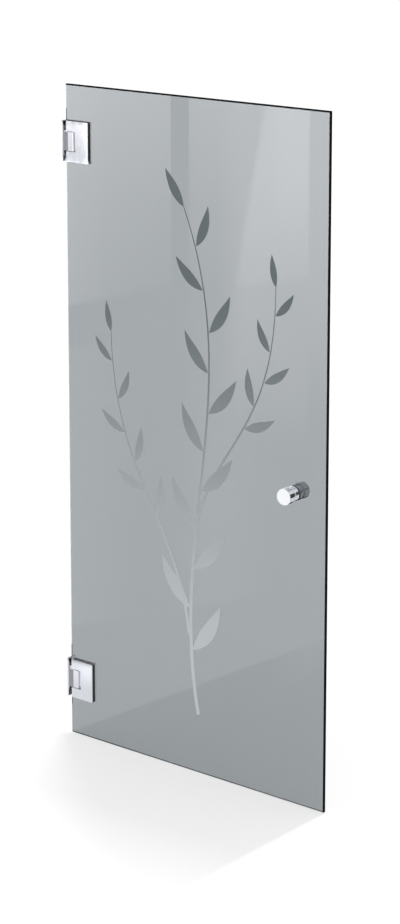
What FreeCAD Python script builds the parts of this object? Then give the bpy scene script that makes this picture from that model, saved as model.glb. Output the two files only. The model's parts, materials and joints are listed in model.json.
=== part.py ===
import FreeCAD, Part
import os
import re

import Sketcher

# A frameless glass door on two wall-to-glass clamp hinges, with a knob on each side.
# Frame: +X runs from the wall to the free edge, +Y to the back of the door, +Z up. The origin lies on the back
# face of the lower wall plate, level with the hinge's centre and in the middle plane of the glass. Each hinge is
# drawn about its own centre and placed at its height.

DIMENSIONS = [
    ("glass_width", 900, "glass, from the hinge edge to the free edge"),
    ("glass_height", 1900, "glass, bottom edge to top edge"),
    ("glass_thickness", 8, "toughened glass"),
    ("glass_arris", 0.5, "flat ground on every long edge of the glass"),
    ("lower_hinge_height", 168, "centre of the lower hinge above the bottom edge of the glass"),
    ("upper_hinge_drop", 160, "centre of the upper hinge below the top edge of the glass"),
    ("hinge_height", 115, "covers and wall plate"),
    ("wall_plate_thickness", 4, "wall plate"),
    ("wall_plate_width", 36, "wall plate, front to back"),
    ("plate_edge_chamfer", 0.8, "chamfered rim of the wall plate"),
    ("wall_screw_diameter", 5.5, "hole for a wall screw"),
    ("wall_screw_head_diameter", 11, "countersink for the head of a wall screw"),
    ("wall_screw_columns", 20, "spacing of the wall screws, front to back"),
    ("wall_screw_rows", 76, "spacing of the wall screws, up and down"),
    ("swing_clearance", 5, "least gap between the wall plate and what swings past it"),
    ("clamp_edge_to_pin", 6, "from the hinge edge of the covers to the axis of the pin"),
    ("clamp_edge_chamfer", 1.5, "chamfer on the hinge edge of the covers"),
    ("glass_edge_to_pin", 11, "from the hinge edge of the glass to the axis of the pin"),
    ("cover_width", 80, "covers, along the glass"),
    ("cover_thickness", 6, "covers"),
    ("cover_edge_round", 0.8, "softened far edge of the covers"),
    ("gasket_thickness", 1, "gasket between a cover and the glass"),
    ("gasket_inset", 0.5, "gasket behind the rim of its cover"),
    ("knuckle_height", 53, "knuckle"),
    ("knuckle_reach", 22, "nose of the knuckle beyond the axis of the pin"),
    ("knuckle_nose_round", 2, "rounded edges of the nose"),
    ("knuckle_flat_length", 20, "flat cheeks of the knuckle, from the nose back"),
    ("knuckle_taper", 0.8, "how far each cheek draws in from the flat to the wall plate"),
    ("slot_end_gap", 8, "from the nose of the knuckle to the end of the slot"),
    ("slot_corner_round", 3, "inner corners of the slot in the covers"),
    ("flange_thickness", 1.5, "flange of a bush"),
    ("flange_play", 0.5, "play between a flange and the lug beside it"),
    ("pin_diameter", 6, "hinge pin"),
    ("pin_play", 0.04, "radial play of the pin in its bushes"),
    ("bush_wall", 2, "wall of a bush"),
    ("bush_length", 14, "bush inside the knuckle"),
    ("flange_width", 3, "flange of a bush outside its bore"),
    ("pin_end_setback", 1, "ends of the pin inside the ends of the clamp body"),
    ("body_lug_height", 14, "lugs of the clamp body above and below the slot"),
    ("body_web", 15, "clamp body beyond the end of the slot"),
    ("body_corner_round", 8, "outer corners of the clamp body"),
    ("notch_clearance", 2, "between the clamp body and the notch in the glass"),
    ("clamp_screw_diameter", 6, "clamp screw"),
    ("clamp_screw_head_diameter", 11, "countersunk head of a clamp screw"),
    ("clamp_screw_spacing", 44, "clamp screws, up and down"),
    ("clamp_screw_depth", 4, "thread of a clamp screw in the front cover"),
    ("knob_edge_distance", 110, "axis of the knobs from the free edge of the glass"),
    ("knob_height", 870, "axis of the knobs above the bottom edge of the glass"),
    ("knob_diameter", 45, "head of a knob"),
    ("knob_base_diameter", 43, "base ring of a knob"),
    ("knob_base_length", 14, "base ring of a knob"),
    ("knob_neck_diameter", 36, "groove between base ring and head"),
    ("knob_neck_length", 5, "groove between base ring and head"),
    ("knob_head_length", 22, "head of a knob"),
    ("knob_rim_chamfer", 1, "chamfered outer rim of the head"),
    ("knob_groove_chamfer", 0.7, "chamfered rims beside the groove"),
    ("knob_washer_thickness", 1, "washer between a knob and the glass"),
    ("knob_washer_inset", 2, "washer inside the rim of the base ring"),
    ("stud_diameter", 8, "stud that joins the two knobs"),
    ("stud_depth", 18, "stud inside each knob"),
    ("stud_play", 0.05, "radial play of the stud in the knobs and the sleeve"),
    ("stud_end_play", 1, "bore of a knob beyond the end of the stud"),
    ("sleeve_wall", 2, "sleeve around the stud in the glass"),
    ("sleeve_play", 0.3, "radial play of the sleeve in the glass"),
]

# Values that follow from the driving dimensions, in hinge coordinates unless the name says otherwise.
DERIVED = [
    ("clamp_half", "glass_thickness / 2 + gasket_thickness + cover_thickness"),
    ("body_half", "glass_thickness / 2 + gasket_thickness"),
    ("edge_flat_half", "clamp_half - clamp_edge_chamfer"),
    ("edge_reach", "sqrt(clamp_edge_to_pin * clamp_edge_to_pin + edge_flat_half * edge_flat_half)"),
    ("rim_reach", "sqrt((clamp_edge_to_pin - clamp_edge_chamfer) ^ 2 + clamp_half * clamp_half)"),
    ("glass_reach", "sqrt(glass_edge_to_pin * glass_edge_to_pin + glass_thickness * glass_thickness / 4)"),
    ("swing_reach", "max(edge_reach; rim_reach; glass_reach)"),
    ("pin_x", "wall_plate_thickness + swing_clearance + swing_reach"),
    ("cover_x", "pin_x - clamp_edge_to_pin"),
    ("cover_end_x", "cover_x + cover_width"),
    ("glass_x", "pin_x - glass_edge_to_pin"),
    ("glass_end_x", "glass_x + glass_width"),
    ("glass_bottom_z", "-lower_hinge_height"),
    ("glass_top_z", "glass_bottom_z + glass_height"),
    ("upper_hinge_z", "glass_top_z - upper_hinge_drop"),
    ("half_height", "hinge_height / 2"),
    ("plate_front_y", "-clamp_half"),
    ("plate_back_y", "plate_front_y + wall_plate_width"),
    ("plate_middle_y", "(plate_front_y + plate_back_y) / 2"),
    ("knuckle_half", "knuckle_height / 2"),
    ("knuckle_end_x", "pin_x + knuckle_reach"),
    ("knuckle_bend_x", "knuckle_end_x - knuckle_flat_length"),
    ("knuckle_foot_half", "clamp_half - knuckle_taper"),
    ("slot_half", "knuckle_half + flange_thickness + flange_play"),
    ("slot_end_x", "knuckle_end_x + slot_end_gap"),
    ("body_half_height", "slot_half + body_lug_height"),
    ("body_end_x", "slot_end_x + body_web"),
    ("notch_end_x", "body_end_x + notch_clearance"),
    ("notch_half", "body_half_height + notch_clearance"),
    ("pin_half", "body_half_height - pin_end_setback"),
    ("bush_bore_radius", "pin_diameter / 2 + pin_play"),
    ("bush_radius", "bush_bore_radius + bush_wall"),
    ("flange_radius", "bush_radius + flange_width"),
    ("clamp_screw_x", "slot_end_x + body_web / 2"),
    ("clamp_screw_end", "body_half + clamp_screw_depth"),
    ("clamp_screw_head_depth", "(clamp_screw_head_diameter - clamp_screw_diameter) / 2"),
    ("knob_x", "glass_end_x - knob_edge_distance"),
    ("knob_z", "glass_bottom_z + knob_height"),
    ("knob_seat", "glass_thickness / 2 + knob_washer_thickness"),
    ("knob_groove_start", "knob_seat + knob_base_length"),
    ("knob_groove_end", "knob_groove_start + knob_neck_length"),
    ("knob_end", "knob_groove_end + knob_head_length"),
    ("stud_end", "knob_seat + stud_depth"),
    ("stud_bore_radius", "stud_diameter / 2 + stud_play"),
    ("stud_bore_end", "stud_end + stud_end_play"),
    ("sleeve_radius", "stud_bore_radius + sleeve_wall"),
    ("knob_hole_radius", "sleeve_radius + sleeve_play"),
]

FACES = {"front": "-", "back": ""}
HINGES = {"lower": "0", "upper": "upper_hinge_z"}
ENDS = {"Below": "-", "Above": ""}
ORIGIN_PLANES = {"XY": "XY_Plane", "XZ": "XZ_Plane", "YZ": "YZ_Plane"}
ALIASES = {row[0] for row in DIMENSIONS + DERIVED}
COUNTERSINK_ANGLE = 90
FULL_TURN = 360
TOLERANCE = 1e-4

doc = FreeCAD.newDocument("GlassDoor")
sheet = doc.addObject("Spreadsheet::Sheet", "Dims")


def fill_sheet():
    for row, (name, value, note) in enumerate(DIMENSIONS, start=1):
        sheet.set(f"A{row}", name)
        sheet.set(f"B{row}", str(value))
        sheet.set(f"C{row}", note)
        sheet.setAlias(f"B{row}", name)
    for row, (name, formula) in enumerate(DERIVED, start=len(DIMENSIONS) + 2):
        sheet.set(f"A{row}", name)
        sheet.set(f"B{row}", "=" + formula)
        sheet.setAlias(f"B{row}", name)
    doc.recompute()


def size(name):
    return float(getattr(sheet, name))


def bound(text):
    """Puts the sheet's name before each alias in a formula."""
    return re.sub(r"[a-z_]+", lambda word: "Dims." + word[0] if word[0] in ALIASES else word[0], text)


def new_body(label, height="0"):
    body = doc.addObject("PartDesign::Body", label)
    body.Label = label
    body.AllowCompound = True
    body.setExpression("Placement.Base.z", bound(height))
    return body


def new_sketch(body, plane, name, offset="0"):
    """A sketch on one of the body's origin planes, lifted along the plane's normal."""
    sketch = body.newObject("Sketcher::SketchObject", name)
    role = ORIGIN_PLANES[plane]
    support = [feature for feature in body.Origin.OriginFeatures if feature.Role == role][0]
    sketch.AttachmentSupport = (support, [""])
    sketch.MapMode = "FlatFace"
    sketch.setExpression("AttachmentOffset.Base.z", bound(offset))
    return sketch


def tie(sketch, kind, *where, formula):
    """Adds a driving constraint whose value follows the sheet."""
    value = float(sketch.evalExpression(bound(formula)))
    index = sketch.addConstraint(Sketcher.Constraint(kind, *where, value))
    sketch.setExpression(f"Constraints[{index}]", bound(formula))


def draw_outline(sketch, corners):
    """A closed run of straight lines through corners, each given as two formulas."""
    first = sketch.GeometryCount
    places = [[float(sketch.evalExpression(bound(formula))) for formula in corner] for corner in corners]
    count = len(corners)
    for i in range(count):
        start = FreeCAD.Vector(*places[i], 0)
        end = FreeCAD.Vector(*places[(i + 1) % count], 0)
        sketch.addGeometry(Part.LineSegment(start, end), False)
    for i in range(count):
        sketch.addConstraint(Sketcher.Constraint("Coincident", first + i, 2, first + (i + 1) % count, 1))
    for i, (across, up) in enumerate(corners):
        tie(sketch, "DistanceX", -1, 1, first + i, 1, formula=across)
        tie(sketch, "DistanceY", -1, 1, first + i, 1, formula=up)


def draw_circle(sketch, across, up, radius):
    centre = [float(sketch.evalExpression(bound(formula))) for formula in (across, up)]
    length = float(sketch.evalExpression(bound(radius)))
    circle = Part.Circle(FreeCAD.Vector(*centre, 0), FreeCAD.Vector(0, 0, 1), length)
    index = sketch.addGeometry(circle, False)
    tie(sketch, "DistanceX", -1, 1, index, 3, formula=across)
    tie(sketch, "DistanceY", -1, 1, index, 3, formula=up)
    tie(sketch, "Radius", index, formula=radius)


def pad(body, sketch, name, length, both_ways=False, backwards=False):
    feature = body.newObject("PartDesign::Pad", name)
    feature.Profile = sketch
    feature.setExpression("Length", bound(length))
    feature.SideType = "Symmetric" if both_ways else "One side"
    feature.Reversed = backwards
    return feature


def turn(body, sketch, name, line, formula):
    """Revolves a sketch about an upright or level line that lies at the given place in the sketch."""
    place = float(sketch.evalExpression(bound(formula)))
    ends = {"Vertical": ((place, 0), (place, 1)), "Horizontal": ((0, place), (1, place))}[line]
    axis = sketch.addGeometry(Part.LineSegment(*(FreeCAD.Vector(*end, 0) for end in ends)), True)
    sketch.addConstraint(Sketcher.Constraint(line, axis))
    across, up = (formula, "0") if line == "Vertical" else ("0", formula)
    tie(sketch, "DistanceX", -1, 1, axis, 1, formula=across)
    tie(sketch, "DistanceY", -1, 1, axis, 1, formula=up)
    tie(sketch, "Distance", axis, formula="1")
    feature = body.newObject("PartDesign::Revolution", name)
    feature.Profile = sketch
    feature.ReferenceAxis = (sketch, ["Axis0"])
    feature.Angle = FULL_TURN
    doc.recompute()


def check_cut(feature, before):
    doc.recompute()
    if feature.Shape.Volume > before - TOLERANCE:
        raise RuntimeError(feature.Name + " cuts nothing")


def cut_through(body, sketch, name):
    """A pocket through everything on both sides of its sketch."""
    doc.recompute()
    before = body.Shape.Volume
    feature = body.newObject("PartDesign::Pocket", name)
    feature.Profile = sketch
    feature.SideType = "Two sides"
    feature.Type = "ThroughAll"
    feature.Type2 = "ThroughAll"
    check_cut(feature, before)


def cut_blind(body, sketch, name, depth):
    """A pocket that runs the way the sketch faces, to a depth."""
    doc.recompute()
    before = body.Shape.Volume
    feature = body.newObject("PartDesign::Pocket", name)
    feature.Profile = sketch
    feature.Reversed = True
    feature.setExpression("Length", bound(depth))
    check_cut(feature, before)


def drill_countersunk(body, sketch, name, diameter, head_diameter, backwards=False):
    """Screw holes through the body at the sketch's circles, with a countersink on the sketch's side."""
    doc.recompute()
    before = body.Shape.Volume
    holes = body.newObject("PartDesign::Hole", name)
    holes.Profile = sketch
    holes.Reversed = backwards
    doc.recompute()
    holes.Threaded = False
    holes.DepthType = "ThroughAll"
    holes.HoleCutType = "Countersink"
    holes.HoleCutCustomValues = True
    holes.HoleCutCountersinkAngle = COUNTERSINK_ANGLE
    holes.setExpression("Diameter", bound(diameter))
    holes.setExpression("HoleCutDiameter", bound(head_diameter))
    check_cut(holes, before)


def edge_names(shape, wanted):
    return [f"Edge{i}" for i, edge in enumerate(shape.Edges, start=1) if wanted(edge)]


def dress(body, kind, name, edges, formula):
    """A Fillet or Chamfer on the named edges of the body's newest feature."""
    if not edges:
        raise RuntimeError(name + " has no edges")
    base = body.Tip
    feature = body.newObject("PartDesign::" + kind, name)
    feature.Base = (base, edges)
    feature.setExpression("Radius" if kind == "Fillet" else "Size", bound(formula))
    doc.recompute()
    return feature


def runs_along(edge, axis):
    box = edge.BoundBox
    spans = {"x": box.XLength, "y": box.YLength, "z": box.ZLength}
    return all(span > TOLERANCE if name == axis else span < TOLERANCE for name, span in spans.items())


def centre(edge):
    return edge.BoundBox.Center


def near(a, b):
    return abs(a - b) < TOLERANCE


def edges_at(shape, axis, x_name):
    """The straight edges that run along an axis at the x of the given name."""
    return edge_names(shape, lambda edge: runs_along(edge, axis) and near(centre(edge).x, size(x_name)))


def glass_panel():
    body = new_body("glass_panel")
    sketch = new_sketch(body, "XZ", "PanelOutline")
    draw_outline(sketch, [
        ("glass_x", "glass_bottom_z"),
        ("glass_end_x", "glass_bottom_z"),
        ("glass_end_x", "glass_top_z"),
        ("glass_x", "glass_top_z"),
    ])
    pad(body, sketch, "Panel", "glass_thickness", both_ways=True)
    doc.recompute()
    rims = edge_names(body.Shape, lambda edge: not runs_along(edge, "y"))
    dress(body, "Chamfer", "Arris", rims, "glass_arris")
    notches = new_sketch(body, "XZ", "NotchOutlines")
    for height in ("0", "upper_hinge_z"):
        draw_outline(notches, [
            ("0", f"{height} - notch_half"),
            ("notch_end_x", f"{height} - notch_half"),
            ("notch_end_x", f"{height} + notch_half"),
            ("0", f"{height} + notch_half"),
        ])
    cut_through(body, notches, "Notches")
    dress(body, "Fillet", "NotchCorners", edges_at(body.Shape, "y", "notch_end_x"), "body_corner_round")
    hole = new_sketch(body, "XZ", "KnobHoleOutline")
    draw_circle(hole, "knob_x", "knob_z", "knob_hole_radius")
    cut_through(body, hole, "KnobHole")


def wall_plate(side, height):
    """The plate on the wall: its front edge is flush with the covers, and it reaches further to the back."""
    body = new_body(side + "_wall_plate", height)
    sketch = new_sketch(body, "YZ", "PlateOutline")
    draw_outline(sketch, [
        ("plate_front_y", "-half_height"),
        ("plate_back_y", "-half_height"),
        ("plate_back_y", "half_height"),
        ("plate_front_y", "half_height"),
    ])
    pad(body, sketch, "Plate", "wall_plate_thickness")
    doc.recompute()
    rim = edge_names(body.Shape, lambda edge: near(centre(edge).x, size("wall_plate_thickness")))
    dress(body, "Chamfer", "PlateRim", rim, "plate_edge_chamfer")
    centres = new_sketch(body, "YZ", "ScrewCentres", "wall_plate_thickness")
    for across in ("-", "+"):
        column = f"plate_middle_y {across} wall_screw_columns / 2"
        for up in ("-", ""):
            draw_circle(centres, column, up + "wall_screw_rows / 2", "wall_screw_diameter / 2")
    drill_countersunk(body, centres, "ScrewHoles", "wall_screw_diameter", "wall_screw_head_diameter")


def knuckle(side, height):
    """The block on the wall plate that carries the pin, with cheeks that draw in towards the plate."""
    body = new_body(side + "_knuckle", height)
    sketch = new_sketch(body, "XY", "KnuckleOutline")
    draw_outline(sketch, [
        ("wall_plate_thickness", "-knuckle_foot_half"),
        ("knuckle_bend_x", "-clamp_half"),
        ("knuckle_end_x", "-clamp_half"),
        ("knuckle_end_x", "clamp_half"),
        ("knuckle_bend_x", "clamp_half"),
        ("wall_plate_thickness", "knuckle_foot_half"),
    ])
    pad(body, sketch, "Block", "knuckle_height", both_ways=True)
    doc.recompute()
    dress(body, "Fillet", "Nose", edges_at(body.Shape, "z", "knuckle_end_x"), "knuckle_nose_round")
    bore = new_sketch(body, "XY", "BoreOutline")
    draw_circle(bore, "pin_x", "0", "bush_radius")
    cut_through(body, bore, "BushBore")


def bushes(side, height):
    """Two flanged bushes, turned about the pin, one pressed into each end of the knuckle."""
    body = new_body(side + "_bushes", height)
    for end, sign in ENDS.items():
        sketch = new_sketch(body, "XZ", "BushProfile" + end)
        draw_outline(sketch, [
            ("pin_x + bush_bore_radius", f"{sign}(knuckle_half - bush_length)"),
            ("pin_x + bush_radius", f"{sign}(knuckle_half - bush_length)"),
            ("pin_x + bush_radius", f"{sign}knuckle_half"),
            ("pin_x + flange_radius", f"{sign}knuckle_half"),
            ("pin_x + flange_radius", f"{sign}(knuckle_half + flange_thickness)"),
            ("pin_x + bush_bore_radius", f"{sign}(knuckle_half + flange_thickness)"),
        ])
        turn(body, sketch, "Bush" + end, "Vertical", "pin_x")


def pin(side, height):
    body = new_body(side + "_pin", height)
    sketch = new_sketch(body, "XY", "PinSection")
    draw_circle(sketch, "pin_x", "0", "pin_diameter / 2")
    pad(body, sketch, "Pin", "2 * pin_half", both_ways=True)
    doc.recompute()


def slotted_outline(end, half, slot_end):
    """Outline of a plate with a slot open to the hinge edge, as corners in the plane of the glass."""
    return [
        ("cover_x", f"-{half}"),
        (end, f"-{half}"),
        (end, half),
        ("cover_x", half),
        ("cover_x", "slot_half"),
        (slot_end, "slot_half"),
        (slot_end, "-slot_half"),
        ("cover_x", "-slot_half"),
    ]


def clamp_body(side, height):
    """The block that fills the notch in the glass and holds the pin in a lug above and below the knuckle."""
    body = new_body(side + "_clamp_body", height)
    sketch = new_sketch(body, "XZ", "BodyOutline")
    draw_outline(sketch, slotted_outline("body_end_x", "body_half_height", "slot_end_x"))
    pad(body, sketch, "Block", "2 * body_half", both_ways=True)
    doc.recompute()
    dress(body, "Fillet", "OuterCorners", edges_at(body.Shape, "y", "body_end_x"), "body_corner_round")
    bore = new_sketch(body, "XY", "PinBoreOutline")
    draw_circle(bore, "pin_x", "0", "pin_diameter / 2")
    cut_through(body, bore, "PinBore")
    screws = new_sketch(body, "XZ", "ScrewBoreOutline")
    for sign in ("-", ""):
        draw_circle(screws, "clamp_screw_x", sign + "clamp_screw_spacing / 2", "clamp_screw_diameter / 2")
    cut_through(body, screws, "ScrewBores")


def cover(side, height, face):
    """A slotted cover plate; face is front or back. The screws come through the back one."""
    body = new_body(f"{side}_{face}_cover", height)
    sketch = new_sketch(body, "XZ", "CoverOutline", "body_half" if face == "front" else "-body_half")
    draw_outline(sketch, slotted_outline("cover_end_x", "half_height", "slot_end_x"))
    pad(body, sketch, "Plate", "cover_thickness", backwards=(face == "back"))
    doc.recompute()
    dress(body, "Fillet", "SlotCorners", edges_at(body.Shape, "y", "slot_end_x"), "slot_corner_round")
    outside = float(sheet.evalExpression(bound(FACES[face] + "clamp_half")))
    for kind, name, x_name, formula in (("Chamfer", "HingeEdge", "cover_x", "clamp_edge_chamfer"),
                                        ("Fillet", "EndEdge", "cover_end_x", "cover_edge_round")):
        edges = edge_names(body.Shape, lambda edge: runs_along(edge, "z") and near(centre(edge).y, outside)
                           and near(centre(edge).x, size(x_name)))
        dress(body, kind, name, edges, formula)
    centres = new_sketch(body, "XZ", "ScrewCentres", "-clamp_half" if face == "back" else "body_half")
    for sign in ("-", ""):
        draw_circle(centres, "clamp_screw_x", sign + "clamp_screw_spacing / 2", "clamp_screw_diameter / 2")
    if face == "front":
        cut_blind(body, centres, "ScrewThreads", "clamp_screw_depth")
    else:
        drill_countersunk(body, centres, "ScrewHoles", "clamp_screw_diameter", "clamp_screw_head_diameter",
                          backwards=True)


def gasket(side, height, face):
    """A thin pad between a cover and the glass, cut away over the notch."""
    body = new_body(f"{side}_{face}_gasket", height)
    sketch = new_sketch(body, "XZ", "GasketOutline",
                        "glass_thickness / 2" if face == "front" else "-glass_thickness / 2")
    draw_outline(sketch, [
        ("cover_x + gasket_inset", "-half_height + gasket_inset"),
        ("cover_end_x - gasket_inset", "-half_height + gasket_inset"),
        ("cover_end_x - gasket_inset", "half_height - gasket_inset"),
        ("cover_x + gasket_inset", "half_height - gasket_inset"),
        ("cover_x + gasket_inset", "notch_half"),
        ("notch_end_x", "notch_half"),
        ("notch_end_x", "-notch_half"),
        ("cover_x + gasket_inset", "-notch_half"),
    ])
    pad(body, sketch, "Pad", "gasket_thickness", backwards=(face == "back"))
    doc.recompute()
    dress(body, "Fillet", "NotchCorners", edges_at(body.Shape, "y", "notch_end_x"), "body_corner_round")


def clamp_screws(side, height):
    """Two countersunk screws across the glass, from the back cover into the front one."""
    body = new_body(side + "_clamp_screws", height)
    for end, sign in ENDS.items():
        axis = f"{sign}clamp_screw_spacing / 2"
        sketch = new_sketch(body, "YZ", "ScrewProfile" + end, "clamp_screw_x")
        draw_outline(sketch, [
            ("-clamp_screw_end", axis),
            ("clamp_half", axis),
            ("clamp_half", f"{axis} + clamp_screw_head_diameter / 2"),
            ("clamp_half - clamp_screw_head_depth", f"{axis} + clamp_screw_diameter / 2"),
            ("-clamp_screw_end", f"{axis} + clamp_screw_diameter / 2"),
        ])
        turn(body, sketch, "Screw" + end, "Horizontal", axis)


def knob(face):
    """A turned knob: a base ring on its washer, a groove and a head; the stud fits its bore."""
    body = new_body("knob_" + face)
    out = FACES[face]
    sketch = new_sketch(body, "YZ", "KnobProfile", "knob_x")
    steps = [
        ("knob_seat", "stud_bore_radius"),
        ("knob_seat", "knob_base_diameter / 2"),
        ("knob_groove_start", "knob_base_diameter / 2"),
        ("knob_groove_start", "knob_neck_diameter / 2"),
        ("knob_groove_end", "knob_neck_diameter / 2"),
        ("knob_groove_end", "knob_diameter / 2"),
        ("knob_end", "knob_diameter / 2"),
        ("knob_end", "0"),
        ("stud_bore_end", "0"),
        ("stud_bore_end", "stud_bore_radius"),
    ]
    draw_outline(sketch, [(out + along, "knob_z + " + radius) for along, radius in steps])
    turn(body, sketch, "Knob", "Horizontal", "knob_z")
    chamfers = (
        ("HeadRim", "knob_end", "knob_diameter", "knob_rim_chamfer"),
        ("HeadGroove", "knob_groove_end", "knob_diameter", "knob_groove_chamfer"),
        ("BaseGroove", "knob_groove_start", "knob_base_diameter", "knob_groove_chamfer"),
    )
    for name, place, width, formula in chamfers:
        across = float(sheet.evalExpression(bound(out + place)))
        rims = edge_names(body.Shape, lambda edge: near(centre(edge).y, across)
                          and near(edge.BoundBox.ZLength, size(width)))
        dress(body, "Chamfer", name, rims, formula)


def tube(label, start, end, inner, outer):
    """A round tube about the knobs' axis, between two places across the glass."""
    body = new_body(label)
    sketch = new_sketch(body, "YZ", "TubeProfile", "knob_x")
    draw_outline(sketch, [
        (start, "knob_z + " + inner),
        (end, "knob_z + " + inner),
        (end, "knob_z + " + outer),
        (start, "knob_z + " + outer),
    ])
    turn(body, sketch, "Tube", "Horizontal", "knob_z")


def finish():
    doc.recompute()
    bodies = [item for item in doc.Objects if item.TypeId == "PartDesign::Body"]
    for item in doc.Objects:
        if "Invalid" in item.State or "Error" in item.State:
            raise RuntimeError(f"{item.Name} failed: {item.State}")
    for body in bodies:
        if body.Shape.isNull() or not body.Shape.isValid():
            raise RuntimeError(body.Label + " has no valid shape")
    os.makedirs("parts", exist_ok=True)
    for body in bodies:
        body.Shape.exportStep(f"parts/{body.Label}.step")
        print(body.Label, round(body.Shape.Volume), len(body.Shape.Solids))


fill_sheet()
glass_panel()
for side, height in HINGES.items():
    wall_plate(side, height)
    knuckle(side, height)
    bushes(side, height)
    pin(side, height)
    clamp_body(side, height)
    for face in ("front", "back"):
        cover(side, height, face)
        gasket(side, height, face)
    clamp_screws(side, height)
for face, out in FACES.items():
    knob(face)
    tube(f"knob_{face}_washer", out + "glass_thickness / 2", out + "knob_seat", "sleeve_radius + sleeve_play",
         "knob_base_diameter / 2 - knob_washer_inset")
tube("knob_sleeve", "-knob_seat", "knob_seat", "stud_bore_radius", "sleeve_radius")
tube("knob_stud", "-stud_end", "stud_end", "0", "stud_diameter / 2")
finish()
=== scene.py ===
import json
import math

import bmesh
import bpy
from mathutils import Euler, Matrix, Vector


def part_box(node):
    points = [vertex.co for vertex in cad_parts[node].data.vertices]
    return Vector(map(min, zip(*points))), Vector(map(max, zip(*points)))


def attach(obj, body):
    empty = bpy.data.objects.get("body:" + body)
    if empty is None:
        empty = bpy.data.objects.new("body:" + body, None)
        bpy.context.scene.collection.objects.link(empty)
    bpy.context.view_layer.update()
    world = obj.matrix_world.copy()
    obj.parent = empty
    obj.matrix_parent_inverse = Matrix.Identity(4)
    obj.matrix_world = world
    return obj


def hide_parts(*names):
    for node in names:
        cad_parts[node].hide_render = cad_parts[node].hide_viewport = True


# A frameless glass door on two clamp hinges: the materials of its CAD pieces, the print on its glass, the heads
# of its screws, and the camera, light and stage of the photograph.
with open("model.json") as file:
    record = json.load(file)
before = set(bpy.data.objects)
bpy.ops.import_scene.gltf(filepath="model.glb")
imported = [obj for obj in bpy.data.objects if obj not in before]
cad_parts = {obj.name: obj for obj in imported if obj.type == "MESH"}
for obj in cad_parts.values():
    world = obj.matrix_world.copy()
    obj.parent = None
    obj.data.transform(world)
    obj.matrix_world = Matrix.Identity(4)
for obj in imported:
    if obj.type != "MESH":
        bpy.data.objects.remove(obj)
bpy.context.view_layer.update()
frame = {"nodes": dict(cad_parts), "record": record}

# Lengths are in metres. The door is seen from the front, with its hinges at the left.
GLASS_LOW, GLASS_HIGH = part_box("glass_panel")
GLASS_FRONT = GLASS_LOW.y
GLASS_WIDTH = GLASS_HIGH.x - GLASS_LOW.x
GLASS_HEIGHT = GLASS_HIGH.z - GLASS_LOW.z
CORNER = Vector((GLASS_LOW.x, GLASS_FRONT, GLASS_LOW.z))
SIDES = ("lower", "upper")
WHITE = (1, 1, 1, 1)

# The camera, found by fitting the four corners of the glass. Its place is measured from the glass's front lower
# corner on the hinge side.
CAMERA_PLACE = CORNER + Vector((4.4210, -4.9543, 2.7418))
CAMERA_YAW = math.radians(38.53)
CAMERA_PITCH = math.radians(10.74)
CAMERA_REACH = 400
LENS_MM = 93.90
SENSOR_MM = 36
SHIFT_Y = -0.25

# The white surround, which is seen at a strength of 1.0 and lights the scene at WORLD_LIGHT, and the lamp.
WORLD_LIGHT = 1.15
KEY_PLACE = Vector((1.0, 2.6, 12.0))
KEY_SIZE = (0.12, 1.7)
KEY_POWER = 810

# The floor. Its own glow is FLOOR_LIFT right under the lamp, and more by up to KEY_SHARE away from it.
FLOOR_GAP = 0.003
FLOOR_SIZE = 160
FLOOR_COLOUR = (0.26, 0.26, 0.26, 1)
FLOOR_LIFT = 0.612
KEY_SHARE = 0.16

# The pool of light on the floor: a fan from a point to the left of the glass's corner and behind it. POOL_FAN
# is how far aside its soft edge lies for each metre ahead, from dark to light.
POOL_LEFT = 0.08
POOL_BEHIND = 0.05
POOL_FAN = (1.3, 0.3)
POOL_LEAST_AHEAD = 0.01
POOL_SOFT = 0.02
POOL_LIGHT = 0.155

# The finishes: the two colours that a noise mixes, the roughness that goes with it, and the noise's scale and
# detail.
CHROME_COLOURS = ((0.83, 0.84, 0.87, 1), (0.89, 0.90, 0.93, 1))
CHROME_ROUGHNESS = (0.02, 0.07)
CHROME_HAZE = (60, 4)
STEEL_COLOURS = ((0.52, 0.53, 0.55, 1), (0.68, 0.69, 0.71, 1))
STEEL_ROUGHNESS = (0.22, 0.4)
STEEL_STRETCH = (900, 900, 60)
STEEL_LINES = (1, 3)
STEEL_LINE_DEPTH = 0.00003
PLASTIC_MOTTLE = (150, 3)
PLASTIC_GRAIN = (2500, 2)
PLASTIC_ROUGHNESS_RANGE = 0.06
# By slot: the material's name, its colours, its middle roughness and the depth of its grain.
PLASTICS = {
    "nylon": ("nylon", ((0.70, 0.70, 0.67, 1), (0.80, 0.80, 0.77, 1)), 0.45, 0.00001),
    "clear_washer": ("soft_washer", ((0.55, 0.58, 0.60, 1), (0.66, 0.69, 0.71, 1)), 0.3, 0.00001),
    "gasket": ("gasket_rubber", ((0.018, 0.018, 0.02, 1), (0.035, 0.035, 0.04, 1)), 0.6, 0.00002),
}

# The glass. For each metre it takes away GLASS_DENSITY times what its tint lacks of white.
GLASS_IOR = 1.5
GLASS_COLOURS = ((0.985, 0.99, 0.99, 1), WHITE)
GLASS_STRETCH = (0.6, 1, 4)
GLASS_WAVES = (2, 0)
GLASS_TINT = (0.8832, 0.8902, 0.8952, 1)
GLASS_DENSITY = 1000.0
LAMP_LIGHT_THROUGH = (0.9, 0.9, 0.9, 1)
# Painted shade: the dark colour, and the widths and softness of the dark bands painted along the glass's top,
# free side and bottom. They stand in for the dark look of its edges.
EDGE_SHADE_COLOUR = (0.01, 0.011, 0.012, 1)
TOP_SHADE_BAND = 0.0038
SIDE_SHADE_BAND = 0.003
BOTTOM_SHADE_LINE = 0.0009
EDGE_SHADE_SOFT = 0.0004

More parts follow.
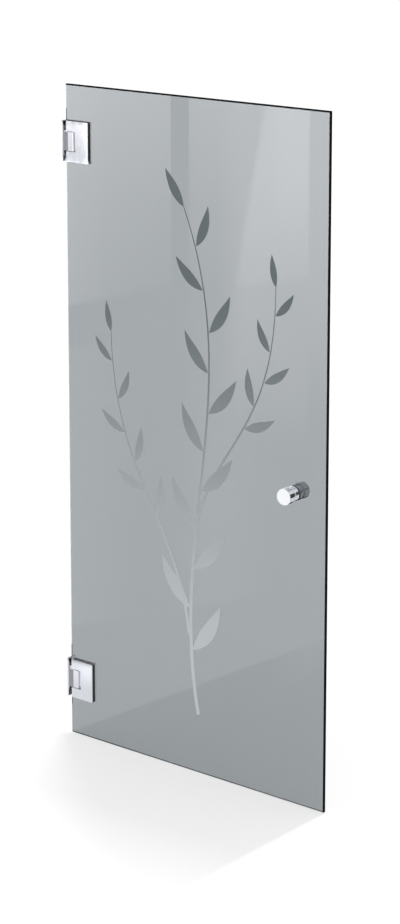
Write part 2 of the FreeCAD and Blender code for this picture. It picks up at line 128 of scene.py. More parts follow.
# The print. It fades between the two heights, from the pale colour up to the dark one. Ribbons that cross lie
# in layers of their own, PRINT_LAYER apart.
PRINT_FADE = (GLASS_LOW.z + 0.25, GLASS_HIGH.z - 0.45)
PRINT_COLOURS = ((0.66, 0.70, 0.72, 1), (0.12, 0.15, 0.158, 1))
PRINT_ROUGHNESS = (0.45, 0.65)
PRINT_GLOSS = 0.25
SPECKLE = (900, 3)
SPECKLE_COLOUR = (0.42, 0.45, 0.47, 1)
SPECKLE_SHARE = 0.12
PRINT_GAP = 0.00002
PRINT_THICKNESS = 0.00002
PRINT_LAYER = 0.00004

# The sprigs of the print, across from the glass's hinge side and up from its bottom: the stem's four control
# points and width, how far along it the first leaf is, and the number and length of its leaves.
STEMS = [
    (((0.47, 0.17), (0.36, 0.70), (0.64, 1.10), (0.42, 1.60)), 0.012, 0.12, 11, 0.17),
    (((0.437, 0.40), (0.40, 0.72), (0.17, 0.80), (0.16, 1.22)), 0.009, 0.42, 6, 0.125),
    (((0.462, 0.72), (0.54, 0.98), (0.73, 1.03), (0.73, 1.42)), 0.009, 0.50, 5, 0.125),
]
STEM_STEPS = 40
STEM_THINNING = 0.75
DIRECTION_STEP = 0.01
LEAF_STEPS = 16
LEAF_WIDTH = 0.24
LEAF_LEAST_WIDTH = 0.0006
LEAF_FULLNESS = 0.85
# How far along the stem its last leaf is, how far off its middle each leaf starts, in widths of the stem, and
# how long a leaf is at the foot of the stem and how much shorter at its tip.
LAST_LEAF = 0.93
LEAF_INSET = 0.3
LEAF_LENGTH = 1.1
LEAF_SHORTENING = 0.4
# How far a leaf goes ahead along the stem and out from it, at its start and at its end, and how far the leaf at
# the tip of the stem bends to the side and how long it is beside the others.
LEAF_START = (0.62, 0.78)
LEAF_END = (0.92, 0.39)
TOP_LEAF_SIDE = 0.2
TOP_LEAF_LENGTH = 0.7

# The screws. A profile gives depth and radius from the face to the tip. The floor of a recess is narrower than
# its mouth, and half the width of a cross's arm is a share of its reach.
MM_PER_METRE = 1000
SCREW_SIDES = 48
RECESS_FLOOR_SHARE = 0.8
CROSS_ARM_SHARE = 0.28
LEAST_SINE = 0.001
CROSS_REACH = 0.0026
CROSS_DEPTH = 0.0016
HEX_REACH = 0.0025
HEX_DEPTH = 0.003
WALL_SCREW_PROFILE = [(0.0001, 0.0053), (0.0028, 0.0026), (0.0039, 0.0026)]
CLAMP_SHANK_SHARE = 6 / 11

# What the front of the glass mirrors, drawn on the glass itself: across from its hinge side and up from its
# bottom. A pair is a soft step, 0 before its first value and 1 past its second, also where the first is the
# greater. A line has its slope first, and its pair is for its height on the hinge side. A climb is the place
# where light starts to rise and how fast it rises. The light of the windows comes on top of ROOM_LIGHT, and
# GLOW is what they have of it low down, above the line of their sills.
ROOM_LIGHT = 0.775
GLOW = 0.33
SILL_LINE = (0.35, 0.318, 0.326)

POST = (0.376, 0.438)
POST_SOFT = 0.003
POST_FOOT = (1.34, 1.38)

LEFT_END = (0.378, 0.374)
LEFT_PANE_LINE = (0.297, 1.262, 1.278)
LEFT_CLIMBS_UP = ((1.29, 2.6), (1.6, 1.6))
LEFT_CLIMBS_BACK = ((0.65, 2.0), (0.85, 3.0))
LEFT_GLOW_LINE = (0.243, 1.155, 1.145)
LEFT_GLOW_CLIMB = (0.75, 2.0)

MIDDLE_START = (0.38, 0.5)
MIDDLE_CLIMBS_UP = ((1.40, 2.5), (1.62, 1.6))
MIDDLE_FAR_START = (0.5, 0.68)
MIDDLE_FAR_FOOT = (0.8, 1.1)
LOW_GLOW_END = (0.75, 0.55)
LOW_GLOW_TOP = (1.5, 0.9)

# BRIGHT_SIDE is a leaning line: how far it leans for each metre up, and its place across at the bottom.
RIGHT_START = (0.53, 0.64)
BRIGHT_END = (0.838, 0.832)
BRIGHT_SLOPE = 0.5
BRIGHT_CLIMB = (0.60, 2.4)
BRIGHT_SIDE = (0.2, 0.30, 0.325)
BRIGHT_FOOT = (0.95, 1.2)
BRIGHT_FOOT_LIGHT = 0.42
BRIGHT_LINE = (0.25, 1.245, 1.26)
BRIGHT_LINE_LIGHT = 0.5
BRIGHT_TOP = (1.35, 1.75)
BRIGHT_TOP_LIGHT = 0.75
BRIGHT_CORNER_ACROSS = (0.7, 0.76)
BRIGHT_CORNER_UP = (1.45, 1.75)
BRIGHT_CORNER_LIGHT = 0.55
LAST_CLIMBS_UP = ((1.08, 4.7), (1.36, -2.1), (1.62, -0.6))

# The dark foot of the room, and the glow at its right.
FOOT_SLOPE = 0.545
FOOT_TOP = (-0.003, 0.006)
FOOT_GLOW = 0.46
FOOT_GLOW_UP = (-0.16, 0.02)
FOOT_GLOW_START = (0.68, 0.85)

# What the hinges mirror. COVER_MARGIN goes left, right, down and up from a cover's outline, and CHEEKS_MARGIN
# down and up from it: the cheeks of the knuckle mirror a zone further left. Each cover has a dark line along
# its top, and gets lighter to the right and upwards, between the two heights that COVER_GLOW_INSET gives from
# its bottom and its top.
HINGE_COLOUR = (0.95, 0.955, 1.0, 1)
COVER_MARGIN = (0.03, 0.004, 0.003, 0.004)
COVER_SOFT = 0.001
COVER_LIGHT = (0.83, 1.17)
COVER_GLOW_INSET = (0.035, 0.015)
COVER_GLOW_LEFT = 0.4
COVER_TOP_LINE = {"lower": 0.0014, "upper": 0.0036}
COVER_LINE_SOFT = 0.0008
CHEEKS = (-0.33, -0.13)
CHEEKS_MARGIN = (0.08, 0.02)
CHEEKS_SOFT = 0.02
CHEEKS_LIGHT = 0.36

# The card itself, which shows an even light beside the door.
STUDIO_LIGHT = 0.9
ON_DOOR_ACROSS = (-0.08, 0.93)
ON_DOOR_UP = (-0.05, 1.95)
ON_DOOR_SOFT = 0.03
CARD_OUTLINE = ((-1, -1), (2, -1), (2, 3), (-1, 3))
CARD_SCALE = 1.4

# Upright cards that only metal mirrors: name, Y, X from and to, Z from and to, and the light for metal that
# mirrors the card freely, for metal in front that mirrors it through the glass, and for metal behind the glass.
CHROME_CARDS = [
    ("flag_door_top", 1.6, (-1.7, 0.1), (1.75, 2.3), (0.004, 0.004, 0.3)),
    ("flag_lower_hinge_top", 1.6, (-1.7, -1.1), (0.65, 1.1), (0.004, 0.004, 0.3)),
    ("flag_upper_hinge_side", 1.6, (1.36, 1.58), (1.18, 1.37), (0.004, 0.004, 1.0)),
    ("flag_lower_hinge_side", 1.6, (1.36, 1.58), (-0.94, -0.70), (0.004, 0.004, 1.0)),
    ("flag_free_edge", 0.5, (1.22, 1.42), (-0.7, 1.9), (0.004, 0.004, 0.1)),
    ("flag_knob_line", 1.6, (1.75, 2.15), (1.05, 1.35), (0.004, 0.004, 0.1)),
    ("flag_knob_foot", 1.6, (-0.5, 0.9), (-0.8, -0.25), (0.9, 0.25, 0.1)),
    ("card_far_knob", 1.7, (-0.7, 2.3), (-0.8, 2.1), (0.9, 1.9, 0.5)),
    ("card_knob_face", -1.9, (-0.61, -0.53), (-0.045, 0.036), (1.12, 1.12, 1.12)),
    ("card_front_right", -6.5, (3.5, 30.0), (-7.0, 2.5), (0.85, 0.85, 0.85)),
]


# Node helpers: a value is a plain one or a socket.


def new_material(name):
    material = bpy.data.materials.new(name)
    material.use_nodes = True
    tree = material.node_tree
    tree.nodes.clear()
    output = tree.nodes.new("ShaderNodeOutputMaterial")
    return material, tree, output


def connect(tree, socket, value):
    if isinstance(value, bpy.types.NodeSocket):
        tree.links.new(value, socket)
    else:
        socket.default_value = value


def node(tree, kind, **inputs):
    """A node with its inputs set to values, by their names with _ for each space."""
    new = tree.nodes.new("ShaderNode" + kind)
    for name, value in inputs.items():
        connect(tree, new.inputs[name.replace("_", " ")], value)
    return new


def mix_shaders(tree, factor, first, second):
    """The output of a Mix Shader node: first at a factor of 0 and second at 1."""
    mixer = node(tree, "MixShader", Fac=factor)
    tree.links.new(first, mixer.inputs[1])
    tree.links.new(second, mixer.inputs[2])
    return mixer.outputs[0]


def mix_colour(tree, factor, first, second):
    """The same for colours."""
    mixer = tree.nodes.new("ShaderNodeMix")
    mixer.data_type = "RGBA"
    # The sockets of this node share their names over its data types, so they go by number.
    connect(tree, mixer.inputs[0], factor)
    connect(tree, mixer.inputs[6], first)
    connect(tree, mixer.inputs[7], second)
    return mixer.outputs[2]


def calc(tree, operation, *values):
    """The output of a Math node."""
    new = tree.nodes.new("ShaderNodeMath")
    new.operation = operation
    for socket, value in zip(new.inputs, values):
        connect(tree, socket, value)
    return new.outputs[0]


def total(tree, *values):
    result = values[0]
    for value in values[1:]:
        result = calc(tree, "ADD", result, value)
    return result


def product(tree, *values):
    result = values[0]
    for value in values[1:]:
        result = calc(tree, "MULTIPLY", result, value)
    return result


def flip(tree, value):
    return calc(tree, "SUBTRACT", 1.0, value)


def spread(tree, value, low, high):
    """Maps 0 to 1 onto low to high."""
    return calc(tree, "MULTIPLY_ADD", value, high - low, low)


def choose(tree, where, inside, outside):
    """The value inside where the mask is 1, and the one outside where it is 0."""
    return total(tree, product(tree, where, inside), product(tree, flip(tree, where), outside))


def step(tree, value, start, end):
    """0 before start and 1 past end, with a smooth climb between; start may be the greater."""
    ramp = tree.nodes.new("ShaderNodeMapRange")
    ramp.interpolation_type = "SMOOTHSTEP"
    falls = start > end
    connect(tree, ramp.inputs["Value"], value)
    ramp.inputs["From Min"].default_value = min(start, end)
    ramp.inputs["From Max"].default_value = max(start, end)
    ramp.inputs["To Min"].default_value = 1 if falls else 0
    ramp.inputs["To Max"].default_value = 0 if falls else 1
    return ramp.outputs[0]


def band(tree, value, low, high, soft):
    """1 between low and high, with soft sides."""
    rise = step(tree, value, low - soft, low + soft)
    fall = step(tree, value, high + soft, high - soft)
    return calc(tree, "MULTIPLY", rise, fall)


def climb(tree, value, start, rate):
    """0 up to start, then a straight rise."""
    return product(tree, calc(tree, "MAXIMUM", calc(tree, "SUBTRACT", value, start), 0.0), rate)


def climbs(tree, value, starts_and_rates):
    return [climb(tree, value, start, rate) for start, rate in starts_and_rates]


def slanted(tree, across, up, slope):
    """The height over a line that rises by slope and starts at the glass's lower corner."""
    return calc(tree, "MULTIPLY_ADD", across, -slope, up)


def over_line(tree, across, up, slope, start, end):
    """The soft step over a line that rises by slope."""
    return step(tree, slanted(tree, across, up, slope), start, end)


def object_place(tree):
    """A point's place in its object's own frame, as a vector and as X, Y and Z."""
    place = node(tree, "TexCoord").outputs["Object"]
    return place, node(tree, "SeparateXYZ", Vector=place).outputs


def noise(tree, place, scale, detail):
    return node(tree, "TexNoise", Vector=place, Scale=scale, Detail=detail).outputs["Fac"]


def stretched(tree, place, scales):
    return node(tree, "Mapping", Vector=place, Scale=scales).outputs[0]


def bump(tree, height, distance):
    return node(tree, "Bump", Height=height, Distance=distance, Strength=1.0).outputs["Normal"]


def seen_rays(tree):
    """1 for rays that show a background as it is: from the camera, off metal and through glass."""
    path = node(tree, "LightPath").outputs
    seen = calc(tree, "MAXIMUM", path["Is Camera Ray"], path["Is Glossy Ray"])
    return calc(tree, "MAXIMUM", seen, path["Is Transmission Ray"])


def after_metal(tree):
    """1 for rays that have come off metal or off glass, also once they have gone on through glass."""
    return calc(tree, "GREATER_THAN", node(tree, "LightPath").outputs["Glossy Depth"], 0.5)


# Materials of the door.


def chrome_material():
    """Polished chrome plate, with a faint haze from wiping."""
    material, tree, output = new_material("polished_chrome")
    place, _ = object_place(tree)
    haze = noise(tree, place, *CHROME_HAZE)
    shader = node(tree, "BsdfPrincipled", Base_Color=mix_colour(tree, haze, *CHROME_COLOURS), Metallic=1.0,
                  Roughness=spread(tree, haze, *CHROME_ROUGHNESS))
    tree.links.new(shader.outputs[0], output.inputs["Surface"])
    return material


def steel_material():
    """Ground steel, with fine lines across a grey base."""
    material, tree, output = new_material("ground_steel")
    place, _ = object_place(tree)
    lines = noise(tree, stretched(tree, place, STEEL_STRETCH), *STEEL_LINES)
    shader = node(tree, "BsdfPrincipled", Base_Color=mix_colour(tree, lines, *STEEL_COLOURS), Metallic=1.0,
                  Roughness=spread(tree, lines, *STEEL_ROUGHNESS), Normal=bump(tree, lines, STEEL_LINE_DEPTH))
    tree.links.new(shader.outputs[0], output.inputs["Surface"])
    return material


def plastic_material(name, colours, roughness, grain_depth):
    """Moulded plastic or rubber, with a fine grain and slight mottling."""
    material, tree, output = new_material(name)
    place, _ = object_place(tree)
    mottle = noise(tree, place, *PLASTIC_MOTTLE)
    grain = noise(tree, place, *PLASTIC_GRAIN)
    smoothest = roughness - PLASTIC_ROUGHNESS_RANGE
    roughest = roughness + PLASTIC_ROUGHNESS_RANGE
    shader = node(tree, "BsdfPrincipled", Base_Color=mix_colour(tree, mottle, *colours),
                  Roughness=spread(tree, mottle, smoothest, roughest), Normal=bump(tree, grain, grain_depth))
    tree.links.new(shader.outputs[0], output.inputs["Surface"])
    return material


def glass_material():
    """Grey toughened glass, which darkens with its depth and has the slight roller waves of toughening.

    Its top and free side have a band of painted shade over the faces, and its bottom a fine painted dark line.
    The light of the lamp goes straight through.
    """
    material, tree, output = new_material("grey_glass")
    place, axes = object_place(tree)
    waves = noise(tree, stretched(tree, place, GLASS_STRETCH), *GLASS_WAVES)
    across = calc(tree, "SUBTRACT", axes["X"], GLASS_LOW.x)
    up = calc(tree, "SUBTRACT", axes["Z"], GLASS_LOW.z)
    # Painted shade: dark bands along the bottom, the top and the free side, standing in for the dark look of
    # the edges.
    bottom_shade = step(tree, up, BOTTOM_SHADE_LINE + EDGE_SHADE_SOFT, BOTTOM_SHADE_LINE)
    top_shade = step(tree, up, GLASS_HEIGHT - TOP_SHADE_BAND - EDGE_SHADE_SOFT, GLASS_HEIGHT - TOP_SHADE_BAND)
    side_shade = step(tree, across, GLASS_WIDTH - SIDE_SHADE_BAND - EDGE_SHADE_SOFT, GLASS_WIDTH - SIDE_SHADE_BAND)
    clear = mix_colour(tree, waves, *GLASS_COLOURS)
    glass = node(tree, "BsdfPrincipled", Base_Color=mix_colour(tree, bottom_shade, clear, EDGE_SHADE_COLOUR),
                 Roughness=0.0, IOR=GLASS_IOR, Transmission_Weight=1.0)
    edge = node(tree, "BsdfDiffuse", Color=EDGE_SHADE_COLOUR)
    in_edge_shade = calc(tree, "MAXIMUM", top_shade, side_shade)
    with_edge_shade = mix_shaders(tree, in_edge_shade, glass.outputs[0], edge.outputs[0])
    lamp_light = node(tree, "BsdfTransparent", Color=LAMP_LIGHT_THROUGH)
    path = node(tree, "LightPath").outputs
    surface = mix_shaders(tree, path["Is Shadow Ray"], with_edge_shade, lamp_light.outputs[0])
    tint = node(tree, "VolumeAbsorption", Color=GLASS_TINT, Density=GLASS_DENSITY)
    tree.links.new(surface, output.inputs["Surface"])
    tree.links.new(tint.outputs[0], output.inputs["Volume"])
    return material


def print_material():
    """Fired ink on the glass: dark grey-green at the top of the door, thinning to a pale grey at the bottom."""
    material, tree, output = new_material("fired_ink")
    place, axes = object_place(tree)
    speckle = noise(tree, place, *SPECKLE)
    shade = mix_colour(tree, step(tree, axes["Z"], *PRINT_FADE), *PRINT_COLOURS)
    worn = mix_colour(tree, product(tree, speckle, SPECKLE_SHARE), shade, SPECKLE_COLOUR)
    shader = node(tree, "BsdfPrincipled", Base_Color=worn, Roughness=spread(tree, speckle, *PRINT_ROUGHNESS),
                  Specular_IOR_Level=PRINT_GLOSS)
    tree.links.new(shader.outputs[0], output.inputs["Surface"])
    return material


def dress_frame():
    """Gives each CAD node the material of its slot, and returns the materials by slot."""
    finishes = {"glass": glass_material(), "chrome": chrome_material(), "steel": steel_material()}
    for slot, values in PLASTICS.items():
        finishes[slot] = plastic_material(*values)
    for part in frame["record"]["subparts"]:
        slots = frame["nodes"][part["node"]].data.materials
        slots.clear()
        slots.append(finishes[part["material_slot"]])
    return finishes


# Pieces of the door that the CAD leaves out or has in less detail.


def finish_mesh(name, mesh):
    bmesh.ops.recalc_face_normals(mesh, faces=mesh.faces)
    data = bpy.data.meshes.new(name)
    mesh.to_mesh(data)
    mesh.free()
    return data


def build_object(name, mesh, material, body):
    piece = bpy.data.objects.new(name, mesh)
    bpy.context.scene.collection.objects.link(piece)
    mesh.materials.append(material)
    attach(piece, body)
    return piece


def curve_point(points, along):
    """A point of the cubic curve through four control points."""
    a, b, c, d = (Vector(point) for point in points)
    back = 1 - along
    return a * back ** 3 + b * 3 * back ** 2 * along + c * 3 * back * along ** 2 + d * along ** 3


def curve_direction(points, along):
    ahead = curve_point(points, min(1, along + DIRECTION_STEP))
    behind = curve_point(points, max(0, along - DIRECTION_STEP))
    return (ahead - behind).normalized()


def turned_left(direction):
    return Vector((-direction.y, direction.x))


def ribbon_sides(points, widths):
    """The two sides of a ribbon along a curve, with a width for each of its places."""
    left, right = [], []
    for i, width in enumerate(widths):
        along = i / (len(widths) - 1)
        here = curve_point(points, along)
        aside = turned_left(curve_direction(points, along)) * (width / 2)
        left.append(here + aside)
        right.append(here - aside)
    return left, right


def stem_ribbon(points, width):
    """A stem that thins towards its tip."""
    widths = [width * (1 - STEM_THINNING * i / STEM_STEPS) for i in range(STEM_STEPS + 1)]
    return ribbon_sides(points, widths)


def leaf_ribbon(foot, ahead, side, length):
    """An almond leaf that leaves the stem on one side and bends upwards."""
    out = turned_left(ahead) * side
    start = (ahead * LEAF_START[0] + out * LEAF_START[1]).normalized()
    end = (ahead * LEAF_END[0] + out * LEAF_END[1]).normalized()
    tip = foot + (start + end) * length / 2
    shares = [math.sin(math.pi * (i / LEAF_STEPS) ** LEAF_FULLNESS) for i in range(LEAF_STEPS + 1)]
    widths = [length * LEAF_WIDTH * share + LEAF_LEAST_WIDTH for share in shares]
    return ribbon_sides((foot, foot + start * length / 3, tip - end * length / 3, tip), widths)


def sprig_layers():
    """The ribbons of the sprigs, as (layer, ribbon); no two ribbons of a layer cross."""
    for number, (stem, width, first, count, length) in enumerate(STEMS):
        yield 0 if number == 0 else 1, stem_ribbon(stem, width)
        for i in range(count):
            along = first + (LAST_LEAF - first) * i / (count - 1)
            side = 1 if i % 2 else -1
            ahead = curve_direction(stem, along)
            foot = curve_point(stem, along) + turned_left(ahead) * side * width * LEAF_INSET
            yield 2 + number, leaf_ribbon(foot, ahead, side, length * (LEAF_LENGTH - LEAF_SHORTENING * along))
        tip, ahead = curve_point(stem, 1.0), curve_direction(stem, 1.0)
        yield 2 + number, leaf_ribbon(tip, ahead, TOP_LEAF_SIDE, length * TOP_LEAF_LENGTH)


def add_print():
    """Sprigs of leaves printed on the front of the glass."""
    mesh = bmesh.new()
    for layer, ribbon in sprig_layers():
        back_y = GLASS_FRONT - PRINT_GAP - layer * PRINT_LAYER
        front, back = (
            [[mesh.verts.new((CORNER.x + p.x, y, CORNER.z + p.y)) for p in side] for side in ribbon]
            for y in (back_y - PRINT_THICKNESS, back_y)
        )
        last = len(front[0]) - 1
        for i in range(last):
            mesh.faces.new((front[0][i], front[1][i], front[1][i + 1], front[0][i + 1]))
            mesh.faces.new((back[0][i + 1], back[1][i + 1], back[1][i], back[0][i]))
            mesh.faces.new((front[0][i + 1], back[0][i + 1], back[0][i], front[0][i]))
            mesh.faces.new((front[1][i], back[1][i], back[1][i + 1], front[1][i + 1]))
        mesh.faces.new((front[0][0], back[0][0], back[1][0], front[1][0]))
        mesh.faces.new((front[1][last], back[1][last], back[0][last], front[0][last]))
    name = "printed_sprigs"
    build_object(name, finish_mesh(name, mesh), print_material(), "door")


def cross_recess(angle, reach):
    """How far a cross-shaped recess goes out at an angle."""
    off_arm = abs((angle + math.pi / 4) % (math.pi / 2) - math.pi / 4)
    return min(reach / math.cos(off_arm), CROSS_ARM_SHARE * reach / max(math.sin(off_arm), LEAST_SINE))


def hex_recess(angle, reach):
    """How far a hexagonal socket goes out at an angle; reach is to its corners."""
    return reach * math.cos(math.pi / 6) / math.cos(angle % (math.pi / 3) - math.pi / 6)


def add_screw(mesh, head, inward, profile, recess, reach, depth):
    """A screw in a mesh, from the centre of its face inwards, with a recess of that reach and depth."""
    upright = Vector((0, 0, 1))
    aside = inward.cross(upright)
    angles = [2 * math.pi * i / SCREW_SIDES for i in range(SCREW_SIDES)]

    def ring(down, radii):
        centre = head + inward * down
        return [mesh.verts.new(centre + (upright * math.cos(angle) + aside * math.sin(angle)) * radius)
                for angle, radius in zip(angles, radii)]

    mouth = [recess(angle, reach) for angle in angles]
    floor = [RECESS_FLOOR_SHARE * radius for radius in mouth]
    face = profile[0][0]
    rings = [ring(face + depth, floor), ring(face, mouth)]
    rings += [ring(down, [radius] * SCREW_SIDES) for down, radius in profile]
    mesh.faces.new(rings[0])
    mesh.faces.new(rings[-1])
    for first, second in zip(rings, rings[1:]):
        for i in range(SCREW_SIDES):
            j = (i + 1) % SCREW_SIDES
            mesh.faces.new((first[i], first[j], second[j], second[i]))


def add_wall_screws(material):
    """Countersunk screws with cross recesses in the holes of the wall plates, at the record's hole patterns."""
    plate_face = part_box("lower_wall_plate")[1].x
    inward = Vector((-1, 0, 0))
    for mount in frame["record"]["mounts"]:
        if mount["kind"] != "bolt_pattern":
            continue
        mesh = bmesh.new()
        middle = Vector(mount["pos_m"])
        for across in (-0.5, 0.5):
            for up in (-0.5, 0.5):
                y = middle.y + across * mount["dims"]["spacing_x_mm"] / MM_PER_METRE
                z = middle.z + up * mount["dims"]["spacing_y_mm"] / MM_PER_METRE
                head = Vector((plate_face, y, z))
                add_screw(mesh, head, inward, WALL_SCREW_PROFILE, cross_recess, CROSS_REACH, CROSS_DEPTH)
        name = mount["name"].replace("holes", "screws")
        build_object(name, finish_mesh(name, mesh), material, "wall_side")


def add_clamp_screws(material):
    """The clamp screws again, with the hexagonal sockets in their heads."""
    inward = Vector((0, -1, 0))
    for side in SIDES:
        low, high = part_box(side + "_clamp_screws")
        head_radius = (high.x - low.x) / 2
        shank_radius = head_radius * CLAMP_SHANK_SHARE
        profile = [(0, head_radius), (head_radius - shank_radius, shank_radius), (high.y - low.y, shank_radius)]
        mesh = bmesh.new()
        for z in (low.z + head_radius, high.z - head_radius):
            head = Vector(((low.x + high.x) / 2, high.y, z))
            add_screw(mesh, head, inward, profile, hex_recess, HEX_REACH, HEX_DEPTH)
        name = side + "_socket_screws"
        screws = build_object(name, finish_mesh(name, mesh), material, "door")
        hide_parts(side + "_clamp_screws")


# Camera, light and floor.


def add_camera():
    data = bpy.data.cameras.new("photo_camera")
    data.lens = LENS_MM
    data.sensor_width = SENSOR_MM
    data.shift_y = SHIFT_Y
    data.clip_end = CAMERA_REACH
    camera = bpy.data.objects.new("photo_camera", data)
    camera.location = CAMERA_PLACE
    camera.rotation_euler = Euler((math.pi / 2 - CAMERA_PITCH, 0, CAMERA_YAW))
    bpy.context.scene.collection.objects.link(camera)
    bpy.context.scene.camera = camera


def add_world():
    """A white surround, with another strength for what it lights than for what it shows."""
    world = bpy.data.worlds.new("white_studio")
    world.use_nodes = True
    tree = world.node_tree
    tree.nodes.clear()
    strength = spread(tree, seen_rays(tree), WORLD_LIGHT, 1.0)
    background = node(tree, "Background", Color=WHITE, Strength=strength)
    output = tree.nodes.new("ShaderNodeOutputWorld")
    tree.links.new(background.outputs[0], output.inputs["Surface"])
    bpy.context.scene.world = world


def add_key_lamp():
    """A soft box high behind the door, which throws the door's short shadow forwards."""
    lamp = bpy.data.lights.new("key_soft_box", "AREA")
    lamp.energy = KEY_POWER
    lamp.shape = "RECTANGLE"
    lamp.size = KEY_SIZE[0]
    lamp.size_y = KEY_SIZE[1]
    key = bpy.data.objects.new("key_soft_box", lamp)
    key.location = KEY_PLACE
    key.visible_camera = False
    key.visible_glossy = False
    key.visible_transmission = False
    bpy.context.scene.collection.objects.link(key)


def flat_quad(name, corners, material):
    mesh = bpy.data.meshes.new(name)
    mesh.from_pydata(corners, [], [(0, 1, 2, 3)])
    quad = bpy.data.objects.new(name, mesh)
    mesh.materials.append(material)
    bpy.context.scene.collection.objects.link(quad)
    return quad


def corner_pool(tree, place):
    """Light on the floor in front of the hinge side, a fan in which the shadow of the door thins out."""
    axes = node(tree, "SeparateXYZ", Vector=place).outputs
    aside = calc(tree, "SUBTRACT", axes["X"], CORNER.x - POOL_LEFT)
    ahead = calc(tree, "SUBTRACT", CORNER.y + POOL_BEHIND, axes["Y"])
    ahead = calc(tree, "MAXIMUM", ahead, POOL_LEAST_AHEAD)
    fan = step(tree, calc(tree, "DIVIDE", aside, ahead), *POOL_FAN)
    in_front = step(tree, axes["Y"], CORNER.y + POOL_SOFT, CORNER.y - POOL_SOFT)
    return product(tree, fan, in_front, POOL_LIGHT)


def floor_glow(tree, place):
    """All the light that makes the floor white beside the lamp's, so that only the lamp's shadow shows."""
    away = tree.nodes.new("ShaderNodeVectorMath")
    away.operation = "DISTANCE"
    tree.links.new(place, away.inputs[0])
    away.inputs[1].default_value = (KEY_PLACE.x, KEY_PLACE.y, GLASS_LOW.z - FLOOR_GAP)
    drop_squared = (KEY_PLACE.z - GLASS_LOW.z) ** 2
    away_squared = calc(tree, "MULTIPLY_ADD", away.outputs["Value"], away.outputs["Value"], drop_squared)
    lamp_share = calc(tree, "POWER", calc(tree, "DIVIDE", drop_squared, away_squared), 2.0)
    lack = calc(tree, "MULTIPLY_ADD", lamp_share, -KEY_SHARE, FLOOR_LIFT + KEY_SHARE)
    return total(tree, lack, corner_pool(tree, place))


def add_floor():
    """A white floor that keeps the lamp's shadow of the door, and that metal and glass don't mirror."""
    material, tree, output = new_material("white_floor")
    place, _ = object_place(tree)
    paint = node(tree, "BsdfDiffuse", Color=FLOOR_COLOUR)
    glow = node(tree, "Emission", Color=WHITE, Strength=product(tree, seen_rays(tree), floor_glow(tree, place)))
    both = tree.nodes.new("ShaderNodeAddShader")
    tree.links.new(paint.outputs[0], both.inputs[0])
    tree.links.new(glow.outputs[0], both.inputs[1])
    not_there = node(tree, "BsdfTransparent")
    surface = mix_shaders(tree, after_metal(tree), both.outputs[0], not_there.outputs[0])
    tree.links.new(surface, output.inputs["Surface"])
    height = GLASS_LOW.z - FLOOR_GAP
    half = FLOOR_SIZE / 2
    corners = [(x, y, height) for x, y in ((-half, -half), (half, -half), (half, half), (-half, half))]
    flat_quad("floor", corners, material)


# What the door mirrors.


def left_window(tree, across, up):
    back = flip(tree, across)
    pane = over_line(tree, across, up, *LEFT_PANE_LINE)
    sky = total(tree, *climbs(tree, up, LEFT_CLIMBS_UP), *climbs(tree, back, LEFT_CLIMBS_BACK))
    under_line = over_line(tree, across, up, *LEFT_GLOW_LINE)
    glow = product(tree, climb(tree, back, *LEFT_GLOW_CLIMB), under_line)
    return total(tree, product(tree, pane, sky), glow)


def middle_window(tree, across, up, low_glow):
    near = step(tree, across, *MIDDLE_START)
    far = product(tree, step(tree, across, *MIDDLE_FAR_START), step(tree, up, *MIDDLE_FAR_FOOT))
    sky = total(tree, *climbs(tree, up, MIDDLE_CLIMBS_UP), product(tree, near, GLOW), product(tree, far, GLOW))
    return calc(tree, "MAXIMUM", sky, product(tree, low_glow, step(tree, up, *LOW_GLOW_TOP)))


def right_window(tree, across, up, low_glow):
    """A bright pane whose left side leans, and a last pane past its frame."""
    past_side = over_line(tree, up, across, *BRIGHT_SIDE)
    in_corner = product(tree, step(tree, across, *BRIGHT_CORNER_ACROSS), step(tree, up, *BRIGHT_CORNER_UP))
    bright_pane = total(
        tree,
        climb(tree, slanted(tree, across, up, BRIGHT_SLOPE), *BRIGHT_CLIMB),
        product(tree, past_side, step(tree, up, *BRIGHT_FOOT), BRIGHT_FOOT_LIGHT),
        product(tree, past_side, over_line(tree, across, up, *BRIGHT_LINE), BRIGHT_LINE_LIGHT),
        product(tree, past_side, step(tree, up, *BRIGHT_TOP), BRIGHT_TOP_LIGHT),
        product(tree, in_corner, BRIGHT_CORNER_LIGHT),
    )
    last_pane = total(tree, *climbs(tree, up, LAST_CLIMBS_UP))
    panes = choose(tree, step(tree, across, *BRIGHT_END), bright_pane, last_pane)
    return calc(tree, "MAXIMUM", panes, low_glow)


def window_light(tree, across, up):
    """The light of the windows that the glass mirrors, beside the room's own even light."""
    low_glow = product(tree, step(tree, across, *LOW_GLOW_END), GLOW, step(tree, across, *MIDDLE_START))
    left = left_window(tree, across, up)
    middle = middle_window(tree, across, up, low_glow)
    right = right_window(tree, across, up, low_glow)
    lights = choose(tree, step(tree, across, *RIGHT_START), right, middle)
    lights = choose(tree, step(tree, across, *LEFT_END), left, lights)
    post = product(tree, band(tree, across, *POST, POST_SOFT), step(tree, up, *POST_FOOT))
    return product(tree, lights, flip(tree, post), over_line(tree, across, up, *SILL_LINE))


def room_light(tree, across, up):
    """What the glass mirrors: a pale room with bright tall windows and a dark foot."""
    room = total(tree, window_light(tree, across, up), ROOM_LIGHT)
    foot = slanted(tree, across, up, FOOT_SLOPE)
    foot_glow = product(tree, step(tree, foot, *FOOT_GLOW_UP), step(tree, across, *FOOT_GLOW_START), FOOT_GLOW)
    return choose(tree, step(tree, foot, *FOOT_TOP), room, foot_glow)


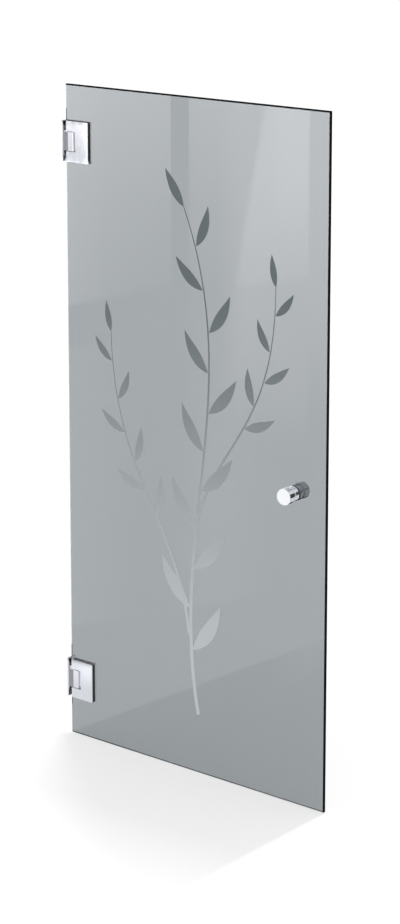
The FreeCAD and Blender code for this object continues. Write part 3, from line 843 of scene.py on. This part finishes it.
def hinge_zones(tree, across, up, side):
    """A hinge's cover as a mask and as the light that it mirrors, and the mask of what its cheeks mirror."""
    low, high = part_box(side + "_front_cover")
    left, right = low.x - CORNER.x, high.x - CORNER.x
    bottom, top = low.z - CORNER.z, high.z - CORNER.z
    beside_left, beside_right, under, over = COVER_MARGIN
    cover = product(tree, band(tree, across, left - beside_left, right + beside_right, COVER_SOFT),
                    band(tree, up, bottom - under, top + over, COVER_SOFT))
    glow_start, glow_end = bottom + COVER_GLOW_INSET[0], top - COVER_GLOW_INSET[1]
    glow = product(tree, step(tree, up, glow_start, glow_end),
                   spread(tree, step(tree, across, left, right), COVER_GLOW_LEFT, 1.0))
    line = top - COVER_TOP_LINE[side]
    under_line = step(tree, up, line, line - COVER_LINE_SOFT)
    light = product(tree, cover, under_line, spread(tree, glow, *COVER_LIGHT))
    under, over = CHEEKS_MARGIN
    cheeks = product(tree, band(tree, across, *CHEEKS, CHEEKS_SOFT),
                     band(tree, up, bottom - under, top + over, CHEEKS_SOFT))
    return cover, light, cheeks


def add_window_card():
    """A card with the room in front of the door, seen only as mirrored.

    It is drawn in the plane of the glass, from its lower corner on the hinge side, and then scaled away from
    the camera's mirror image, so that all of it is mirrored where it was drawn.
    """
    material, tree, output = new_material("window_card")
    _, axes = object_place(tree)
    across, up = axes["X"], axes["Z"]
    zones = [hinge_zones(tree, across, up, side) for side in SIDES]
    covers, cover_light, cheeks = (total(tree, *parts) for parts in zip(*zones))
    on_door = product(tree, band(tree, across, *ON_DOOR_ACROSS, ON_DOOR_SOFT),
                      band(tree, up, *ON_DOOR_UP, ON_DOOR_SOFT))
    door_light = choose(tree, covers, cover_light, room_light(tree, across, up))
    strength = choose(tree, cheeks, CHEEKS_LIGHT, choose(tree, on_door, door_light, STUDIO_LIGHT))
    colour = mix_colour(tree, calc(tree, "MAXIMUM", covers, cheeks), WHITE, HINGE_COLOUR)
    light = node(tree, "Emission", Color=colour, Strength=strength)
    tree.links.new(light.outputs[0], output.inputs["Surface"])
    card = flat_quad("window_card", [(x, 0, z) for x, z in CARD_OUTLINE], material)
    mirrored_camera = Vector((CAMERA_PLACE.x, 2 * GLASS_FRONT - CAMERA_PLACE.y, CAMERA_PLACE.z))
    card.location = mirrored_camera + (CORNER - mirrored_camera) * CARD_SCALE
    card.scale = (CARD_SCALE, CARD_SCALE, CARD_SCALE)
    card.visible_camera = False
    card.visible_diffuse = False
    card.visible_transmission = False
    card.visible_volume_scatter = False
    card.visible_shadow = False


def add_chrome_cards():
    """Cards round the door that only metal mirrors, to which it owes its dark and bright parts.

    The glass, whose mirror image is perfectly sharp, doesn't mirror them.
    """
    for name, depth, (left, right), (low, high), (light_free, light_through, light_behind) in CHROME_CARDS:
        material, tree, output = new_material(name)
        path = node(tree, "LightPath").outputs
        been_through = calc(tree, "GREATER_THAN", path["Transmission Depth"], 0.5)
        behind = product(tree, been_through, path["Is Reflection Ray"])
        in_front = spread(tree, path["Is Transmission Ray"], light_free, light_through)
        light = node(tree, "Emission", Color=WHITE, Strength=choose(tree, behind, light_behind, in_front))
        clear = node(tree, "BsdfTransparent")
        off_glass = product(tree, path["Is Singular Ray"], path["Is Reflection Ray"])
        shown = product(tree, after_metal(tree), flip(tree, off_glass))
        surface = mix_shaders(tree, shown, clear.outputs[0], light.outputs[0])
        tree.links.new(surface, output.inputs["Surface"])
        corners = [(x, depth, z) for x, z in ((left, low), (right, low), (right, high), (left, high))]
        card = flat_quad(name, corners, material)
        card.visible_diffuse = False
        card.visible_shadow = False
        card.visible_camera = False


finishes = dress_frame()
add_camera()
add_world()
add_floor()
add_key_lamp()
add_window_card()
add_chrome_cards()
add_print()
add_wall_screws(finishes["chrome"])
add_clamp_screws(finishes["steel"])

bpy.context.scene.view_settings.view_transform = "Standard"
